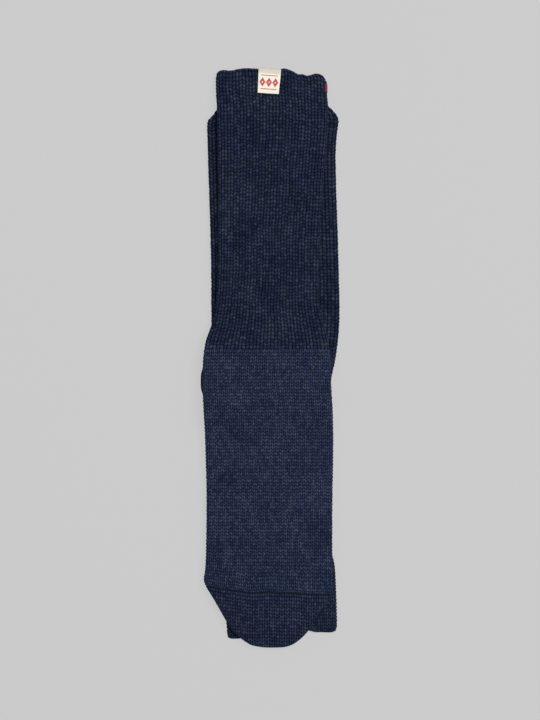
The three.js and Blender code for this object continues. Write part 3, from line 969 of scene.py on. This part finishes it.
def knit_heel(sock, base, material):
    """A heel pocket pressed flat: two closed layers, the upper one lying a little inside."""
    cloth = Cloth()
    wale, across = wale_columns(PLAIN_WALES, PLAIN_HALF, PLAIN_HALF, lambda _: True)
    angle = np.linspace(np.pi / 2, -np.pi / 2, HEEL_ROWS)[:, None]
    middle = sum(sock.heel) / 2
    for layer, inset in HEEL_LAYERS:
        reach = HEEL_REACH - inset
        y = reach * np.sin(angle)
        width = (sock.heel[1] - sock.heel[0]) / 2 - inset
        half = width * np.maximum(1 - np.abs(np.sin(angle)) ** HEEL_POWER, 0) ** (1 / HEEL_POWER)
        radius = HEEL_LAYER / 2 - rounding(reach - np.abs(y), HEEL_LAYER / 2) - HEEL_CLEAR
        half = np.maximum(half, radius * HEEL_END)
        x, z = stadium(wale / (2 * PLAIN_WALES), middle - half, middle + half, -radius, radius)
        level = base + HEEL_LAYER * (layer + 0.5)
        rows = np.broadcast_to((HEEL_REACH - y) / FOOT_COURSE, x.shape)
        size = unevenness(*np.broadcast_arrays(2 * wale, rows), HEEL_SEED)
        rise, pile = plain_relief(*np.broadcast_arrays(across, rows, size, 0.0))
        fade = np.minimum(half / width, 1) * HEEL_RELIEF
        numbers = cloth.add_points(stacked(x, HEEL_Y + y, z + level), rise * fade, pile)
        numbers[0, :], numbers[-1, :] = numbers[0, 0], numbers[-1, 0]
        cloth.add_skin(numbers, stacked(2 * np.append(wale, 2 * PLAIN_WALES), rows[:, :1]))
    return cloth.build(f"{sock.name}_heel_knit", material)


toes = {sock.name: knit_toe(sock, yarns[sock.name, "toe"]) for sock in (UPPER, LOWER)}
heels = {
    sock.name: knit_heel(sock, base, yarns[sock.name, "heel"])
    for sock, base in ((UPPER, UPPER_HEEL_BASE), (LOWER, 0))
}

# %% [markdown]
# ## The label
#
# A woven tape is folded over the cuff's rim. It starts as a flat grid, and its rows are then laid
# along a path: up the front of the ribs, over the rim and down inside the mouth. A Solidify modifier
# gives it its thickness, and a Bevel modifier softens its cut edges. Its design is a plain one of
# its own, in red thread on ivory: a row of diamonds between two lines.

# %% Label shape
LABEL_WIDTH = 16.5
LABEL_TAPER = 1.0
LABEL_TAPER_OVER = 0.6
LABEL_FRONT = 17.6
LABEL_FOLD = 0.45
LABEL_TUCK = 8
LABEL_THICK = 0.5
LABEL_LIFT = 0.3
LABEL_X = 0.1
LABEL_TURN = math.radians(-4)
LABEL_GRID = (14, 70)
LABEL_BEND = 2.2
LABEL_STEPS = (30, 14, 8)
LABEL_CORNER = 0.5
LABEL_RIPPLE = 0.1
LABEL_BEVEL = 0.12


def label_path():
    """The label's middle line as y and z, from its lower end in front to its end inside the cuff."""
    on_front, on_bend, on_tuck = LABEL_STEPS
    station = np.linspace(UPPER.rim - LABEL_FRONT, UPPER.rim - LABEL_BEND, on_front)
    front = tube_points(UPPER, np.full(on_front, TOP_TURN), station)[:, 1:] + (0, LABEL_LIFT)
    rim = tube_points(UPPER, np.array(TOP_TURN), np.array(float(UPPER.rim)))[1:]
    floor_to_front = cloth_height(UPPER, UPPER.rim) + LABEL_LIFT
    inside = WALL + (HOLLOW + mouth(UPPER, UPPER.rim)) / 2
    middle, half = (floor_to_front + inside) / 2, (floor_to_front - inside) / 2
    turn = np.linspace(np.pi / 2, -np.pi / 2, on_bend)
    bend_y = rim[0] - LABEL_BEND + (LABEL_BEND + LABEL_FOLD) * np.cos(turn)
    bend_z = rim[1] - floor_to_front + LABEL_LIFT + middle + half * np.sin(turn)
    bend = stacked(bend_y, bend_z)
    tuck = bend[-1] + stacked(-np.linspace(0.5, LABEL_TUCK, on_tuck), 0.0)
    return np.concatenate([front, bend, tuck])


path = label_path()
steps = np.concatenate([[0], np.cumsum(np.linalg.norm(np.diff(path, axis=0), axis=1))])
LABEL_WHOLE = steps[-1]
print(f"label: {LABEL_WHOLE:.1f} mm of tape")

bpy.ops.mesh.primitive_grid_add(x_subdivisions=LABEL_GRID[0], y_subdivisions=LABEL_GRID[1], size=1)
label = bpy.context.object
label.name = "upper_label_tape"
flat = np.empty(3 * len(label.data.vertices))
label.data.vertices.foreach_get("co", flat)
flat = flat.reshape(-1, 3)
u, v = flat[:, 0] + 0.5, flat[:, 1] + 0.5
away = v * LABEL_WHOLE
width = LABEL_WIDTH - LABEL_TAPER * (1 - smooth(v, 0, LABEL_TAPER_OVER))
corner = smooth(u, 0.55, 1) * (1 - smooth(away, 0, 4))
x = (u - 0.5) * width
y = np.interp(away, steps, path[:, 0])
ripple = LABEL_RIPPLE * np.sin(2.2 + 5 * u + 0.35 * away)
z = np.interp(away, steps, path[:, 1]) + LABEL_CORNER * corner + ripple
hang = y - path[:, 0].max()
turned_x = LABEL_X + x * math.cos(LABEL_TURN) - hang * math.sin(LABEL_TURN)
turned_y = path[:, 0].max() + x * math.sin(LABEL_TURN) + hang * math.cos(LABEL_TURN)
label.data.vertices.foreach_set("co", (stacked(turned_x, turned_y, z) * MM).ravel())
label.data.update()

solidify = label.modifiers.new("tape", "SOLIDIFY")
solidify.thickness = LABEL_THICK * MM
solidify.offset = 0
bevel = label.modifiers.new("cut_edges", "BEVEL")
bevel.width = LABEL_BEVEL * MM
bevel.segments = 2
bevel.limit_method = "ANGLE"
for modifier in ("tape", "cut_edges"):
    bpy.ops.object.modifier_apply(modifier=modifier)
bpy.ops.object.shade_smooth()

# %% Woven label
IVORY = (0.94, 0.88, 0.735)
RED = (0.52, 0.018, 0.045)
DIAMOND_PITCH = 4.9
DIAMOND = (2.3, 3.7)
DIAMONDS_END = (7.1, 7.2)
DESIGN_MIDDLE = 8.6
LINE_AWAY = 5.3
LINE_EDGE = (0.24, 0.36)
LINES_END = (6.2, 6.3)
SOIL_AND_SHADE_SHARE = 0.64
LABEL_BUMP = 0.00008

shader = Shader("woven_label")
uv = shader.node("ShaderNodeUVMap", {"uv_map": "UVMap"}).outputs[0]
split = shader.node("ShaderNodeSeparateXYZ", None, {0: uv})
across = (Socket(shader, split.outputs[0]) - 0.5) * LABEL_WIDTH
up = Socket(shader, split.outputs[1]) * LABEL_WHOLE
side = across.size()
level = (up - DESIGN_MIDDLE).size()
in_cell = (across * (1 / DIAMOND_PITCH) + 0.5).part() - 0.5
cell_side = in_cell.size() * DIAMOND_PITCH
weave = shader.noise(shader.vector(across * 6.0, up * 2.0), 1.0, 2.0, 0.6)
reach = cell_side * (1 / DIAMOND[0]) + level * (1 / DIAMOND[1]) + 0.12 * (weave - 0.5)
inside = (1 - reach.clear_of(0.95, 1.05)) * (1 - side.clear_of(*DIAMONDS_END))
hole = 1 - reach.clear_of(0.2, 0.3)
off_line = (level - LINE_AWAY).size()
line = (1 - off_line.clear_of(*LINE_EDGE)) * (1 - side.clear_of(*LINES_END))
red = inside * (1 - hole) + line
picks = (up * 15.0).wave() * 0.5 + (across * 20.0).wave() * 0.5
# The ivory is darker where the weave is soiled at random, and, as painted shade, from just below the
# rim on over the fold.
soil_and_fold_shade = weave.clear_of(0.3, 0.7) * 0.3 + up.clear_of(LABEL_FRONT - 3.5, LABEL_FRONT - 1.0) * 0.7
ivory = shader.blend(soil_and_fold_shade, (*IVORY, 1), (*[SOIL_AND_SHADE_SHARE * c for c in IVORY], 1))
shader.feed(
    shader.surface,
    {
        "Base Color": shader.blend(red * 0.94, ivory, (*RED, 1)),
        "Roughness": 0.7 + 0.2 * weave,
        "Normal": shader.bump(picks + red * 1.5, LABEL_BUMP, 0.7),
        "Sheen Weight": 0.1,
    },
)
label.data.materials.append(shader.material)

# %% [markdown]
# ## Sewing
#
# The toe pocket is linked to the foot across the instep: a chain of loops lies in the groove between
# them. A short red bar tack is sewn round the cuff's right fold. Both are made from one torus, which
# is copied to each place, turned to lie on the cloth there, and joined.

# %% Threads


def thread_material(name, dark, light):
    shader = Shader(name)
    place = shader.node("ShaderNodeTexCoord").outputs["Object"]
    fibre = shader.noise(place, 2600.0, 3.0, 0.6)
    colour = shader.ramp(fibre, [(0.3, dark), (0.7, light)])
    shader.feed(
        shader.surface,
        {
            "Base Color": colour,
            "Roughness": 0.8 + 0.15 * fibre,
            "Normal": shader.bump(fibre, 0.0001, 0.6),
            "Sheen Weight": 0.05,
            "Specular IOR Level": 0.1,
        },
    )
    return shader.material


def thread_loops(name, radius, thickness, places, material):
    """One torus at every place: a centre in mm, a long direction, an axis and a stretch."""
    bpy.ops.object.select_all(action="DESELECT")
    bpy.ops.mesh.primitive_torus_add(
        major_radius=radius * MM, minor_radius=thickness / 2 * MM, major_segments=14, minor_segments=6
    )
    first = bpy.context.object
    first.name = name
    first.data.materials.append(material)
    copies = []
    for centre, long, axis, stretch in places:
        axis = mathutils.Vector(axis).normalized()
        side = axis.cross(mathutils.Vector(long)).normalized()
        turn = mathutils.Matrix((side.cross(axis), side, axis)).transposed().to_4x4()
        centre = mathutils.Vector([value * MM for value in centre])
        copy = first.copy()
        copy.data = first.data.copy()
        stretched = mathutils.Matrix.Diagonal((stretch, 1, 1, 1))
        copy.data.transform(mathutils.Matrix.Translation(centre) @ turn @ stretched)
        bpy.context.collection.objects.link(copy)
        copies.append(copy)
    bpy.data.objects.remove(first)
    for copy in copies:
        copy.select_set(True)
    bpy.context.view_layer.objects.active = copies[0]
    bpy.ops.object.join()
    joined = bpy.context.object
    joined.name = name
    bpy.ops.object.shade_smooth()
    return joined


linking_thread = thread_material("linking_thread", (0.003, 0.004, 0.009), (0.009, 0.013, 0.03))
red_thread = thread_material("red_thread", (0.26, 0.012, 0.05), (0.50, 0.04, 0.11))

# %% Linked toe seams
LINKS = 65
LINK_TURNS = (0.01, 0.49)
LINK_RADIUS = 0.44
LINK_THICK = 0.74
LINK_DEPTH = 1.15
LINK_TILT = 0.25
LINK_STRETCH = 1.85

linkings = {}
for sock in (UPPER, LOWER):
    turn = np.linspace(*LINK_TURNS, LINKS)
    depth = {"low": LINK_DEPTH, "top": FOOT_HEIGHT - LINK_DEPTH, "side": LINK_DEPTH}
    line = tube_points(sock, turn, np.full(LINKS, float(sock.seam)), **depth)
    line[:, 2] += swell(line[:, 0], line[:, 1])
    run = np.gradient(line, axis=0)
    places = []
    for i, (centre, long) in enumerate(zip(line, run)):
        normal = np.cross((0, 1, 0), long)
        tilt = LINK_TILT if i % 2 else -LINK_TILT
        normal = normal / np.linalg.norm(normal) + (0, tilt, 0)
        places.append((centre, long, normal, LINK_STRETCH))
    name = f"{sock.name}_toe_linking"
    linkings[sock.name] = thread_loops(name, LINK_RADIUS, LINK_THICK, places, linking_thread)

# %% Bar tack
TACK_FROM = 196.5
TACK_TO = 202.3
TACK_STITCHES = 8
TACK_RADIUS = 1.35
TACK_THICK = 0.52
TACK_SINK = 0.4
TACK_RAISE = 0.6
TACK_AXIS = (0.08, 1, 0.05)
TACK_STRETCH = 1.3

places = []
for station in np.linspace(TACK_FROM, TACK_TO, TACK_STITCHES):
    centre = tube_points(UPPER, np.array(0.0), np.array(station), side=TACK_RADIUS + TACK_SINK)
    places.append((centre + (0, 0, TACK_RAISE), (0, 0, 1), TACK_AXIS, TACK_STRETCH))
tack = thread_loops("upper_cuff_bar_tack", TACK_RADIUS, TACK_THICK, places, red_thread)

# %% [markdown]
# ## Floor and light
#
# The picture has a plain pale ground and hardly a shadow, so most of the light comes from all round.
# One wide soft lamp from the upper right gives the stitches a lit and a shaded side.

# %% Floor, lamp and surroundings
FLOOR_SIZE = 6
FLOOR_DROP = 0.0002
FLOOR_GREY = 0.06
FLOOR_GLOW = 0.535
SKY_STRENGTH = 0.45
LAMP_POWER = 24
LAMP_SIZE = 0.9
LAMP_AT = (0.6, 0.3, 1.6)

bpy.ops.mesh.primitive_plane_add(size=FLOOR_SIZE, location=(0, 0, -FLOOR_DROP))
floor = bpy.context.object
floor.name = "pale_floor"
shader = Shader("pale_paper")
shader.feed(
    shader.surface,
    {
        "Base Color": (FLOOR_GREY, FLOOR_GREY, FLOOR_GREY, 1),
        "Roughness": 1.0,
        "Specular IOR Level": 0.0,
        "Emission Color": (1, 1, 1, 1),
        "Emission Strength": FLOOR_GLOW,
    },
)
floor.data.materials.append(shader.material)

bpy.ops.object.light_add(type="AREA", location=LAMP_AT)
lamp = bpy.context.object
lamp.data.size = LAMP_SIZE
lamp.data.energy = LAMP_POWER
lamp.rotation_euler = mathutils.Vector(lamp.location).to_track_quat("Z", "Y").to_euler()

world = bpy.data.worlds.new("soft_surroundings")
world.use_nodes = True
world.node_tree.nodes["Background"].inputs["Color"].default_value = (1, 1, 1, 1)
world.node_tree.nodes["Background"].inputs["Strength"].default_value = SKY_STRENGTH
bpy.context.scene.world = world
bpy.context.scene.view_settings.view_transform = "Standard"

# %% [markdown]
# ## Standing for the solids
#
# Each knitted piece rides on the part's one body and replaces its plain solid. The linked seams ride
# on the same body.

# %% Which solid each piece stands for
PLAIN_SHEETS = {"foot": (0.19, 0.178), "toe": (0.19, 0.045), "heel": (0.094, 0.076)}
SHEETS = {
    "upper": {"leg": (0.157, 0.201), **PLAIN_SHEETS},
    "lower": {"leg": (0.194, 0.182), **PLAIN_SHEETS},
}

made = {"leg": legs, "foot": feet, "toe": toes, "heel": heels}
for sock in (UPPER, LOWER):
    for part, pieces in made.items():
        piece = pieces[sock.name]
        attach(piece, "root")
        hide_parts(f"{sock.name}_{part}")
        flat = SHEETS[sock.name][part]
    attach(linkings[sock.name], "root")

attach(tack, "root")
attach(label, "root")
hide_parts("upper_label")
